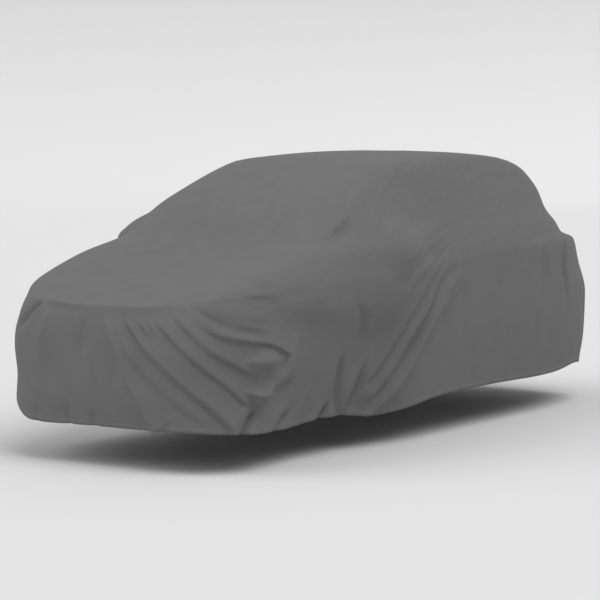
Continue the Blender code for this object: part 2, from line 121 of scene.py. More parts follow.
@dataclass(frozen=True)
class Level:
    """One level line of the tight form: its stations, half width, corners and five heights.

    The heights are at the nose, the front corner, the side, the rear corner and the tail.
    """

    name: str
    front: float
    rear: float
    half: float
    nose_square: float
    tail_square: float
    heights: tuple[float, float, float, float, float]


@dataclass(frozen=True)
class Fold:
    """One fold along a smooth line through its stops.

    rise is how far the cloth stands out along the line, minus where it dips in.  step is how
    much further out it stands on the left of the line than on its right, seen from outside and
    from the first stop to the last.  crisp is 0 for a rounded fold and 1 for a pinched one.
    start and end are the shares of its length over which it dies out.  FOLD and STEP say how
    round the ridge and the step are, FALL how soon they die out, LIP how far and how deep the
    cloth draws in beside a ridge, and THIN_START and GROWN how the fold widens from its start.
    PIECES is how many parts its line has, and REACH how many widths away it still counts.
    """

    name: str
    rise: float
    step: float
    width: float
    crisp: float
    start: float
    end: float
    stops: Stops
    zone: Zone

    PIECES = 12
    SOFT_FOLD, CRISP_FOLD = 1.6, 0.15
    SOFT_STEP, CRISP_STEP = 0.60, 0.08
    FOLD_FALL, STEP_FALL = 1.7, 2.0
    LIP_REACH, LIP_SHARE = 2.3, 0.45
    THIN_START, GROWN = 0.45, 0.5
    REACH = 6.0

    def line(self) -> Array:
        """Draw a smooth line through the stops.

        Returns:
            Points along the line.
        """
        knots = np.linspace(0.0, 1.0, len(self.stops))
        shares = np.linspace(0.0, 1.0, self.PIECES + 1)
        axes = [smooth_curve(knots, [stop[axis] for stop in self.stops], shares) for axis in (0, 1)]
        return np.stack(axes, -1)

    def relief(self, places: Array) -> Array:
        """Find how far the fold moves the cloth.

        Args:
            places: Two coordinates for each point, in the fold's own zone.

        Returns:
            The distance outwards at each point.
        """
        line = self.line()
        reach = self.REACH * self.width
        close = np.all((places > line.min(0) - reach) & (places < line.max(0) + reach), axis=-1)
        found = np.zeros(places.shape[:-1])
        found[close] = self.relief_near(line, places[close])
        return found

    def relief_near(self, line: Array, places: Array) -> Array:
        """Find how far the fold moves the cloth close to its line.

        Args:
            line: Points along the fold.
            places: Two coordinates for each point, in the fold's own zone.

        Returns:
            The distance outwards at each point.
        """
        nearest = np.full(places.shape[:-1], np.inf)
        along = np.zeros(places.shape[:-1])
        side = np.zeros(places.shape[:-1])
        for index, (first, last) in enumerate(zip(line, line[1:])):
            reach = last - first
            offset = places - first
            share = np.clip(offset @ reach / (reach @ reach), 0.0, 1.0)
            distance = np.linalg.norm(offset - share[..., None] * reach, axis=-1)
            closer = distance < nearest
            nearest = np.where(closer, distance, nearest)
            along = np.where(closer, (index + share) / self.PIECES, along)
            side = np.where(closer, reach[0] * offset[..., 1] - reach[1] * offset[..., 0], side)
        grown = self.THIN_START + (1 - self.THIN_START) * smooth_step(0.0, self.GROWN, along)
        across = nearest / (self.width * grown)
        fade = smooth_step(0.0, self.start, along) * smooth_step(0.0, self.end, 1 - along)
        softness = self.SOFT_FOLD + (self.CRISP_FOLD - self.SOFT_FOLD) * self.crisp
        ridge = np.exp(softness - np.sqrt((self.FOLD_FALL * across) ** 2 + softness**2))
        lips = np.exp(-((across / self.LIP_REACH) ** 2))
        steepness = self.SOFT_STEP + (self.CRISP_STEP - self.SOFT_STEP) * self.crisp
        dying = np.exp(-(across ** (self.STEP_FALL - self.crisp)))
        flank = np.tanh(across / steepness) * dying * np.sign(side)
        standing = self.rise * ((1 + self.LIP_SHARE) * ridge - self.LIP_SHARE * lips)
        return fade * (standing + self.step * flank)

    def turned(self, share: float, shift: float) -> "Fold":
        """Repeat the fold on the right side.

        Args:
            share: How strong the repeat is beside this one.
            shift: How much further along its run it lies.

        Returns:
            The repeated fold.
        """
        stops = tuple((-run - shift, height) for run, height in self.stops)
        rise, step = self.rise * share, -self.step * share
        return replace(self, name="right " + self.name, rise=rise, step=step, stops=stops)


@dataclass(frozen=True)
class Tent:
    """A place where the cloth is held out at its side: how far, where, and how it spreads.

    ROUND is how blunt its tip is.
    """

    name: str
    out: float
    station: float
    height: float
    ahead: float
    behind: float
    up: float
    down: float
    peak: float

    ROUND = 0.22

    def push(self, points: Array) -> Array:
        """Find how far across the tent moves the cloth.

        Args:
            points: Points of the tight form.

        Returns:
            The distance across at each point, minus to the right.
        """
        along = points[..., 1] - self.station
        climb = points[..., 2] - self.height
        reach_y = along / np.where(along < 0, self.ahead, self.behind)
        reach_z = climb / np.where(climb < 0, self.down, self.up)
        far = np.sqrt(reach_y**2 + reach_z**2 + self.ROUND**2) - self.ROUND
        share = smooth_step(0.0, 1.0, 1 - far)
        return np.where(points[..., 0] * self.out > 0, self.out * share**self.peak, 0.0)


@dataclass(frozen=True)
class Sway:
    """A stretch of the hem that rises or drops from its even line."""

    name: str
    rise: float
    run: float
    length: float


# The level lines from the hem up.  front and rear are stations on the centre line and half is
# the half width.  nose and tail say how square the corners are there: 2 is an ellipse.
#    name          front  rear   half   nose  tail   z_nose z_front z_side z_back z_tail
LEVELS = (
    ("hem",        0.035, 4.255, 0.872, 5.5,  5.8,   0.222, 0.210,  0.240, 0.240, 0.235),
    ("low skirt",  0.010, 4.285, 0.886, 4.8,  5.8,   0.400, 0.420,  0.440, 0.440, 0.450),
    ("waist",      0.010, 4.285, 0.898, 5.0,  5.7,   0.600, 0.625,  0.660, 0.705, 0.700),
    ("under edge", 0.026, 4.225, 0.894, 4.5,  5.2,   0.775, 0.795,  0.870, 0.920, 0.900),
    ("edge",       0.056, 4.165, 0.892, 4.1,  5.0,   0.842, 0.895,  0.990, 1.065, 1.040),
    ("over edge",  0.150, 4.065, 0.875, 4.7,  4.5,   0.880, 0.945,  1.070, 1.110, 1.070),
    ("slope foot", 0.545, 4.010, 0.842, 5.4,  4.4,   0.970, 1.070,  1.155, 1.180, 1.125),
    ("slope",      0.975, 3.935, 0.786, 6.2,  4.3,   1.080, 1.165,  1.260, 1.265, 1.230),
    ("high slope", 1.395, 3.875, 0.724, 5.8,  4.4,   1.350, 1.400,  1.390, 1.390, 1.370),
    ("roof edge",  1.920, 3.710, 0.628, 5.0,  4.5,   1.560, 1.585,  1.555, 1.535, 1.500),
    ("roof side",  2.150, 3.490, 0.576, 4.4,  4.1,   1.605, 1.606,  1.612, 1.592, 1.570),
    ("roof",       2.400, 3.200, 0.380, 3.2,  3.2,   1.628, 1.630,  1.634, 1.626, 1.620),
    ("crown",      2.600, 2.950, 0.150, 2.4,  2.4,   1.638, 1.639,  1.641, 1.639, 1.638),
)

# Folds of the skirt, over the nose, its two corners and the left side.
#    name               rise    step   width  crisp start end   run and height of each stop
SKIRT_FOLDS = (
    ("nose edge",         0.016,   0.000, 0.036, 1.0, 0.10, 0.30,
     (-0.43, 0.866), (-0.10, 0.846), (0.25, 0.852), (0.60, 0.886)),
    ("nose corner dip",  -0.020,   0.000, 0.034, 0.8, 0.12, 0.30,
     (-0.43, 0.862), (-0.50, 0.815), (-0.58, 0.750), (-0.68, 0.680)),
    ("nose corner rib",   0.018,   0.000, 0.055, 0.3, 0.25, 0.60,
     (-0.36, 0.850), (-0.38, 0.680), (-0.42, 0.440)),
    ("nose dip",         -0.014,   0.000, 0.055, 0.2, 0.30, 0.50,
     (-0.13, 0.820), (-0.10, 0.680), (-0.12, 0.450)),
    ("fan rib",           0.016,   0.000, 0.060, 0.3, 0.30, 0.05,
     (0.04, 0.810), (0.10, 0.690), (0.20, 0.530), (0.31, 0.370), (0.41, 0.200)),
    ("fan edge",          0.000,   0.006, 0.050, 0.8, 0.30, 0.30,
     (0.02, 0.820), (0.07, 0.710), (0.13, 0.610), (0.19, 0.480)),
    ("low fan",           0.000,   0.010, 0.055, 1.0, 0.15, 0.02,
     (0.18, 0.475), (0.27, 0.380), (0.31, 0.310), (0.37, 0.200)),
    ("fan 1",             0.000,   0.011, 0.075, 0.7, 0.35, 0.15,
     (0.09, 0.820), (0.18, 0.640), (0.33, 0.500), (0.51, 0.360), (0.70, 0.220)),
    ("fan 2",             0.000,   0.013, 0.075, 1.0, 0.20, 0.03,
     (0.14, 0.820), (0.32, 0.640), (0.50, 0.500), (0.66, 0.360), (0.82, 0.220)),
    ("fan 3",             0.000,   0.007, 0.034, 0.8, 0.30, 0.40,
     (0.24, 0.800), (0.32, 0.735), (0.41, 0.665)),
    ("fan 4",             0.000,   0.006, 0.030, 0.8, 0.30, 0.40,
     (0.31, 0.790), (0.36, 0.740), (0.41, 0.700)),
    ("fan 5",             0.000,   0.010, 0.058, 1.0, 0.20, 0.05,
     (0.34, 0.820), (0.50, 0.680), (0.64, 0.560), (0.78, 0.450), (0.89, 0.350)),
    ("fan 6",             0.000,   0.011, 0.058, 0.8, 0.25, 0.25,
     (0.43, 0.860), (0.57, 0.735), (0.70, 0.630), (0.84, 0.552), (0.98, 0.470)),
    ("fan 7",             0.000,   0.013, 0.046, 1.0, 0.35, 0.06,
     (0.56, 0.810), (0.74, 0.710), (0.88, 0.686), (1.04, 0.664), (1.21, 0.588)),
    ("fan 7 shoulder",    0.000,  -0.026, 0.050, 0.6, 0.25, 0.30,
     (0.51, 0.885), (0.66, 0.800), (0.80, 0.735), (0.95, 0.705), (1.08, 0.690)),
    ("fan panel",         0.036,   0.000, 0.048, 0.4, 0.40, 0.35,
     (0.84, 0.590), (0.98, 0.585), (1.13, 0.570)),
    ("tongue",            0.056,   0.000, 0.038, 0.6, 0.40, 0.40,
     (0.85, 0.435), (0.97, 0.415), (1.09, 0.440)),
    ("tongue edge",       0.000,   0.022, 0.110, 0.7, 0.30, 0.30,
     (0.84, 0.372), (0.97, 0.376), (1.09, 0.425), (1.19, 0.458), (1.34, 0.468)),
    ("corner patch",     -0.012,   0.000, 0.036, 0.5, 0.40, 0.40,
     (1.20, 0.590), (1.16, 0.555), (1.12, 0.505)),
    ("corner turn",       0.000,  -0.012, 0.100, 0.2, 0.40, 0.40,
     (1.26, 0.700), (1.28, 0.600), (1.24, 0.440)),
    ("hem tuck 1",       -0.034,   0.000, 0.030, 0.7, 0.30, 0.02,
     (0.96, 0.340), (0.91, 0.275), (0.86, 0.180)),
    ("hem tuck 2",       -0.028,   0.000, 0.036, 0.5, 0.35, 0.02,
     (1.32, 0.330), (1.21, 0.250), (1.12, 0.180)),
    ("hem slit",         -0.044,   0.000, 0.028, 0.8, 0.40, 0.02,
     (1.66, 0.320), (1.61, 0.240), (1.55, 0.180)),
    ("shoulder tuck 1",   0.000,   0.006, 0.050, 0.3, 0.40, 0.40,
     (0.68, 1.000), (0.88, 0.975), (1.08, 0.940)),
    ("shoulder tuck 2",   0.000,   0.006, 0.045, 0.4, 0.40, 0.40,
     (0.80, 0.915), (0.96, 0.900), (1.14, 0.885)),
    ("shoulder tuck 3",   0.000,   0.005, 0.036, 0.4, 0.40, 0.40,
     (0.82, 0.765), (0.92, 0.755), (1.04, 0.735)),
    ("brow",              0.000,   0.044, 0.270, 0.2, 0.30, 0.30,
     (0.82, 0.855), (1.36, 0.785), (1.78, 0.715), (2.06, 0.735), (2.50, 0.720)),
    ("hollow",           -0.120,   0.000, 0.420, 0.0, 0.35, 0.34,
     (2.50, 0.100), (1.90, 0.140), (1.40, 0.160), (0.86, 0.160)),
    ("hollow fold 1",    -0.016,   0.000, 0.040, 0.6, 0.30, 0.40,
     (1.73, 0.850), (1.81, 0.720), (1.85, 0.570)),
    ("hollow fold 2",    -0.026,   0.000, 0.036, 0.7, 0.30, 0.10,
     (1.70, 0.580), (1.72, 0.460), (1.73, 0.340), (1.76, 0.190)),
    ("hollow fold 3",    -0.030,   0.000, 0.040, 0.7, 0.30, 0.05,
     (1.94, 0.520), (1.90, 0.390), (1.84, 0.260), (1.80, 0.190)),
    ("hollow rib",        0.014,   0.000, 0.050, 0.3, 0.30, 0.10,
     (1.91, 0.560), (1.85, 0.420), (1.77, 0.280), (1.69, 0.200)),
    ("side dip 1",       -0.018,   0.000, 0.060, 0.3, 0.40, 0.35,
     (2.80, 1.220), (2.60, 1.130), (2.38, 1.050), (2.18, 0.970), (1.94, 0.870)),
    ("side rib 1",        0.018,   0.000, 0.055, 0.3, 0.30, 0.30,
     (2.72, 1.130), (2.50, 1.050), (2.23, 0.960), (2.08, 0.840)),
    ("side line 1",       0.000,  -0.018, 0.065, 1.0, 0.40, 0.10,
     (2.87, 1.090), (2.48, 0.945), (2.26, 0.760), (2.12, 0.560), (1.94, 0.370)),
    ("side rib 2",        0.030,   0.000, 0.060, 0.3, 0.35, 0.10,
     (2.61, 0.900), (2.42, 0.770), (2.23, 0.600), (2.13, 0.460), (1.93, 0.280)),
    ("side dip 2",       -0.022,   0.000, 0.032, 0.7, 0.35, 0.10,
     (2.91, 1.020), (2.62, 0.880), (2.41, 0.660), (2.21, 0.480), (2.00, 0.280)),
    ("side rib 3",        0.028,   0.000, 0.040, 0.4, 0.35, 0.02,
     (3.01, 0.990), (2.72, 0.850), (2.47, 0.660), (2.27, 0.450), (1.96, 0.200)),
    ("side fall",         0.000,  -0.018, 0.110, 0.5, 0.35, 0.05,
     (3.02, 0.940), (2.80, 0.800), (2.54, 0.600), (2.34, 0.400), (2.10, 0.200)),
    ("side shade",        0.000,  -0.010, 0.080, 0.2, 0.40, 0.40,
     (2.82, 1.270), (2.45, 1.200), (2.15, 1.150), (1.93, 1.110)),
    ("rear side dip",    -0.014,   0.000, 0.065, 0.2, 0.30, 0.40,
     (4.04, 1.060), (3.93, 0.900), (3.88, 0.620)),
    ("rear corner line", -0.024,   0.000, 0.036, 0.9, 0.20, 0.40,
     (4.44, 1.100), (4.28, 0.900), (4.22, 0.620)),
)

# Which of them are repeated on the right side, how strongly, and how much further along.
REPEATED_NAMES = ("brow", "hollow", "side", "rear")
REPEATED_SHARE = 0.85
REPEATED_SHIFT = 0.12

# Folds of the tail and the right side, in the same columns.
TAIL_FOLDS = (
    ("tail dip 1",       -0.013,   0.000, 0.060, 0.3, 0.30, 0.05,
     (4.95, 0.860), (4.98, 0.620), (5.04, 0.180)),
    ("tail rib",          0.011,   0.000, 0.070, 0.1, 0.30, 0.05,
     (5.32, 0.800), (5.36, 0.580), (5.34, 0.180)),
    ("tail dip 2",       -0.011,   0.000, 0.060, 0.3, 0.30, 0.05,
     (-5.42, 0.900), (-5.36, 0.640), (-5.30, 0.180)),
    ("tail dip 3",       -0.014,   0.000, 0.060, 0.4, 0.30, 0.05,
     (-4.86, 0.880), (-4.92, 0.600), (-5.00, 0.180)),
    ("tail fall 1",      -0.018,   0.000, 0.055, 0.5, 0.35, 0.05,
     (4.60, 0.880), (4.64, 0.620), (4.72, 0.180)),
    ("tail sweep 1",      0.000,   0.016, 0.080, 0.8, 0.30, 0.40,
     (4.72, 0.930), (5.00, 0.800), (5.36, 0.740)),
    ("tail sweep 2",      0.000,  -0.016, 0.080, 0.8, 0.30, 0.40,
     (-4.70, 0.920), (-4.96, 0.780), (-5.24, 0.710)),
    ("tail fall 2",      -0.020,   0.000, 0.055, 0.5, 0.35, 0.05,
     (-4.60, 0.860), (-4.64, 0.600), (-4.70, 0.180)),
    ("right sweep 1",     0.000,   0.018, 0.090, 0.8, 0.35, 0.40,
     (-4.22, 0.960), (-3.92, 0.800), (-3.55, 0.620), (-3.20, 0.500)),
    ("right sweep 2",     0.000,   0.018, 0.090, 0.8, 0.35, 0.20,
     (-4.26, 0.760), (-3.98, 0.560), (-3.66, 0.380), (-3.44, 0.220)),
    ("right sweep 3",     0.000,   0.013, 0.070, 0.7, 0.35, 0.40,
     (-4.05, 1.080), (-3.70, 0.980), (-3.30, 0.900)),
    ("right fall 1",      0.000,  -0.014, 0.080, 0.8, 0.35, 0.10,
     (-0.84, 0.820), (-0.98, 0.640), (-1.16, 0.460), (-1.38, 0.240)),
    ("right fall 2",      0.000,  -0.014, 0.080, 0.8, 0.35, 0.30,
     (-0.92, 0.900), (-1.12, 0.740), (-1.32, 0.600), (-1.50, 0.440)),
    ("right fall 3",     -0.018,   0.000, 0.045, 0.5, 0.35, 0.05,
     (-0.72, 0.700), (-0.76, 0.500), (-0.84, 0.180)),
)

# Folds of the top, in the same columns, with stops that are across and back.
TOP_FOLDS = (
    ("slope foot dip",    0.000,   0.011, 0.062, 0.3, 0.40, 0.40,
     (0.655, 1.100), (0.660, 1.200), (0.670, 1.290), (0.705, 1.390)),
    ("slope foot rib",    0.000,  -0.013, 0.066, 0.3, 0.40, 0.40,
     (0.740, 1.080), (0.738, 1.200), (0.722, 1.310)),
    ("foot panel",        0.009,   0.000, 0.050, 0.2, 0.40, 0.40,
     (0.650, 0.900), (0.725, 0.980), (0.745, 1.090)),
    ("slope wrinkle",     0.000,  -0.006, 0.030, 0.6, 0.30, 0.30,
     (0.63, 1.550), (0.66, 1.585), (0.69, 1.625)),
    ("roof edge line",    0.000,   0.006, 0.045, 0.7, 0.30, 0.50,
     (0.700, 1.600), (0.665, 1.850), (0.605, 2.080), (0.500, 2.420)),
    ("right slope dip",   0.000,  -0.010, 0.060, 0.4, 0.30, 0.30,
     (-0.660, 1.180), (-0.680, 1.340), (-0.700, 1.500)),
    ("right roof line",   0.000,  -0.006, 0.045, 0.6, 0.30, 0.50,
     (-0.700, 1.600), (-0.665, 1.850), (-0.605, 2.080), (-0.500, 2.420)),
)

# Finer folds of the skirt: gathers along the hem and small creases between the folds.
FINE_FOLDS = (
    ("nose pleat 1",     -0.009,   0.000, 0.036, 0.4, 0.60, 0.02,
     (-0.46, 0.330), (-0.46, 0.270), (-0.46, 0.190)),
    ("nose pleat 2",     -0.010,   0.000, 0.038, 0.4, 0.60, 0.02,
     (-0.22, 0.370), (-0.22, 0.290), (-0.22, 0.190)),
    ("nose pleat 3",     -0.009,   0.000, 0.034, 0.4, 0.60, 0.02,
     (-0.04, 0.340), (-0.04, 0.270), (-0.04, 0.190)),
    ("nose fall",        -0.006,   0.000, 0.034, 0.6, 0.40, 0.05,
     (-0.03, 0.600), (-0.01, 0.460), (0.02, 0.360), (0.06, 0.220)),
    ("fan top 1",        -0.005,   0.000, 0.018, 0.4, 0.40, 0.40,
     (0.17, 0.780), (0.22, 0.730), (0.28, 0.660)),
    ("fan top 2",        -0.004,   0.000, 0.016, 0.4, 0.40, 0.40,
     (0.20, 0.800), (0.27, 0.730), (0.36, 0.660)),
    ("fan 6 lip",         0.000,   0.004, 0.028, 1.0, 0.30, 0.30,
     (0.62, 0.680), (0.76, 0.592), (0.90, 0.528), (1.00, 0.492)),
    ("low crease",        0.000,   0.004, 0.030, 0.9, 0.40, 0.20,
     (0.60, 0.430), (0.70, 0.345), (0.79, 0.270)),
    ("corner crease",     0.000,   0.005, 0.026, 0.5, 0.40, 0.40,
     (1.00, 0.580), (1.10, 0.570), (1.20, 0.545)),
    ("hollow crease",    -0.006,   0.000, 0.024, 0.4, 0.40, 0.05,
     (1.48, 0.440), (1.45, 0.320), (1.42, 0.200)),
    ("side crease 1",     0.000,  -0.005, 0.024, 0.8, 0.40, 0.40,
     (2.86, 1.150), (2.62, 1.080), (2.40, 1.010)),
    ("side crease 2",     0.000,  -0.005, 0.022, 0.8, 0.40, 0.40,
     (2.78, 0.900), (2.60, 0.800), (2.44, 0.680)),
    ("tuck crease 2",    -0.006,   0.000, 0.028, 0.4, 0.40, 0.40,
     (0.82, 0.908), (0.93, 0.903), (1.04, 0.887)),
    ("tuck crease 3",    -0.005,   0.000, 0.024, 0.4, 0.40, 0.40,
     (0.84, 0.855), (0.93, 0.848), (1.00, 0.844)),
    ("tuck crease 4",    -0.006,   0.000, 0.026, 0.4, 0.40, 0.40,
     (0.85, 0.786), (0.94, 0.781), (1.03, 0.775)),
)

# Finer folds of the top.
FINE_TOP_FOLDS = (
    ("foot crease",       0.000,  -0.004, 0.034, 0.3, 0.40, 0.40,
     (0.735, 1.320), (0.747, 1.250), (0.747, 1.180)),
    ("foot shade",        0.000,   0.009, 0.040, 0.8, 0.40, 0.30,
     (0.668, 1.160), (0.668, 1.240), (0.672, 1.290), (0.690, 1.340)),
    ("foot thin",         0.000,   0.003, 0.036, 0.3, 0.40, 0.40,
     (0.770, 0.770), (0.790, 0.850), (0.790, 0.970)),
    ("rail crease",      -0.008,   0.000, 0.030, 0.6, 0.40, 0.40,
     (0.650, 1.890), (0.620, 2.010), (0.600, 2.110), (0.560, 2.260), (0.540, 2.410)),
    ("slope crease",     -0.007,   0.000, 0.026, 0.6, 0.40, 0.40,
     (0.630, 1.550), (0.660, 1.585), (0.695, 1.625)),
    ("tuck crease 1",    -0.004,   0.011, 0.045, 0.8, 0.40, 0.40,
     (0.650, 0.370), (0.710, 0.430), (0.760, 0.480), (0.800, 0.550)),
)

# Where the cloth is held out at each side.
#    name                out    back  high  ahead behind up    down  peak
TENTS = (
    ("left tent",        0.085, 1.53, 1.12, 0.50, 0.70, 0.34, 0.60, 1.5),
    ("left tent tip",    0.065, 1.53, 1.15, 0.22, 0.30, 0.15, 0.20, 1.0),
    ("right tent",      -0.060, 1.53, 1.10, 0.46, 0.60, 0.30, 0.50, 1.5),
    ("right tent tip",  -0.120, 1.44, 1.18, 0.15, 0.36, 0.11, 0.12, 0.6),
)

# Where the hem rises or drops.
#    name                  rise    run  length
HEM_SWAY = (
    ("left front drop",    -0.022,  1.30, 0.30),
    ("nose lift",           0.014,  0.55, 0.30),
    ("left sill drop",     -0.055,  2.12, 0.34),
    ("left rear drop",     -0.010,  3.90, 0.40),
    ("left rear corner",    0.020,  4.48, 0.20),
    ("nose corner lift",    0.022, -0.66, 0.12),
    ("right corner lift",   0.085, -0.79, 0.13),
    ("right side lift",     0.060, -1.02, 0.24),
    ("right low lift",      0.030, -1.36, 0.36),
)


@dataclass
class CoverForm:
    """The cover's shape as it hangs: a tight form with its sway, tents and folds.

    skirt_top and top_start say at which levels the skirt's folds end and the top's begin, and
    side_start and side_full at which angles the nose turns into the side.
    """

    levels: tuple[Level, ...]
    folds: tuple[Fold, ...]
    tents: tuple[Tent, ...]
    sways: tuple[Sway, ...]
    waist: float = 2.0
    corner_angle: float = 45.0
    fine_angles: int = 2881
    skirt_top_nose: float = 4.3
    skirt_top_side: float = 7.2
    skirt_top_fade: float = 1.3
    side_start: float = 38.0
    side_full: float = 62.0
    top_start: float = 4.3
    top_full: float = 5.6
    probe_angle: float = 0.25
    probe_level: float = 0.02

    def heights(self, angle: Array, heights: Array) -> Array:
        """Read a level line's height at each angle.

        Args:
            angle: Degrees from the nose.
            heights: The line's five heights, for each point.

        Returns:
            The height at each point.
        """
        turned = np.abs((angle + 180.0) % 360.0 - 180.0)
        span = np.clip((turned // self.corner_angle).astype(int), 0, len(heights) - 2)
        part = turned / self.corner_angle - span
        slopes = np.zeros_like(heights)
        slopes[1:-1] = (heights[2:] - heights[:-2]) / 2

        def pick(values: Array, place: Array) -> Array:
            """The value of each point at its own corner."""
            return np.take_along_axis(values, place[None], 0)[0]

        hold = 2 * part**3 - 3 * part**2 + 1
        return (
            hold * pick(heights, span)
            + (part**3 - 2 * part**2 + part) * pick(slopes, span)
            + (1 - hold) * pick(heights, span + 1)
            + (part**3 - part**2) * pick(slopes, span + 1)
        )

    def tight(self, angle: Array, level: Array) -> Array:
        """Find points of the cover drawn tight, without folds.

        Args:
            angle: Degrees round the cover: 0 at the nose, 90 on the left and 180 at the tail.
            level: Place between the level lines, counted from the hem up.

        Returns:
            The points.
        """
        lines = self.levels
        table = np.array([
            (line.front, line.rear, line.half, line.nose_square, line.tail_square, *line.heights)
            for line in lines
        ])
        rows = np.arange(len(lines))
        sizes = [smooth_curve(rows, table[:, column], level) for column in range(table.shape[1])]
        front, rear, half, nose_square, tail_square = sizes[:5]
        across = np.sin(np.radians(angle))
        ahead = np.cos(np.radians(angle))
        square = np.where(ahead > 0, nose_square, tail_square)
        reach = (np.abs(across) ** square + np.abs(ahead) ** square) ** (-1 / square)
        x = half * across * reach
        y = (front + rear) / 2 - (rear - front) / 2 * ahead * reach
        return np.stack([x, y, self.heights(angle, np.stack(sizes[5:]))], -1)

    @cached_property
    def waist_line(self) -> tuple[Array, Array]:
        """Measure the waist line.

        Returns:
            Fine angles all round, and the waist line's run at each.
        """
        angles = np.linspace(-180.0, 180.0, self.fine_angles)
        waist = self.tight(angles, np.full(self.fine_angles, self.waist))[:, :2]
        lengths = np.linalg.norm(np.diff(waist, axis=0), axis=1)
        runs = np.concatenate([[0.0], np.cumsum(lengths)])
        return angles, runs - runs[-1] / 2

    def outward(self, angle: Array, level: Array) -> Array:
        """Find which way the tight form faces.

        Args:
            angle: Degrees round the cover from the nose.
            level: Place between the level lines.

        Returns:
            Unit normals, facing out.
        """
        ahead = self.tight(angle + self.probe_angle, level)
        side_step = ahead - self.tight(angle - self.probe_angle, level)
        above = np.minimum(level + self.probe_level, len(self.levels) - 1.0)
        below = np.maximum(level - self.probe_level, 0.0)
        up_step = self.tight(angle, above) - self.tight(angle, below)
        normal = np.cross(side_step, up_step)
        return normal / np.linalg.norm(normal, axis=-1, keepdims=True)

    def hanging(self, angle: Array, level: Array) -> Array:
        """Find points of the cover as it hangs.

        Args:
            angle: Degrees round the cover from the nose.
            level: Place between the level lines.

        Returns:
            The points, in the part's own frame.
        """
        run = np.interp(angle, *self.waist_line)
        points = self.tight(angle, level)
        turn = np.minimum(np.abs(angle), 180.0 - np.abs(angle))
        side = smooth_step(self.side_start, self.side_full, turn)
        limit = self.skirt_top_nose + (self.skirt_top_side - self.skirt_top_nose) * side
        skirt = 1 - smooth_step(limit, limit + self.skirt_top_fade, level)
        top = smooth_step(self.top_start, self.top_full, level)
        places = {
            Zone.SKIRT: np.stack([run, points[..., 2]], -1),
            Zone.TOP: points[..., :2],
        }
        shares = {Zone.SKIRT: skirt, Zone.TOP: top}
        relief = np.zeros(level.shape)
        for fold in self.folds:
            relief += shares[fold.zone] * fold.relief(places[fold.zone])
        hung = points + relief[..., None] * self.outward(angle, level)
        for tent in self.tents:
            hung[..., 0] += tent.push(points)
        for sway in self.sways:
            share = np.exp(-(((run - sway.run) / sway.length) ** 2))
            hung[..., 2] += sway.rise * share * (1 - smooth_step(0.0, self.waist, level))
        return hung - np.array([0.0, HELD_STATION, HELD_HEIGHT])


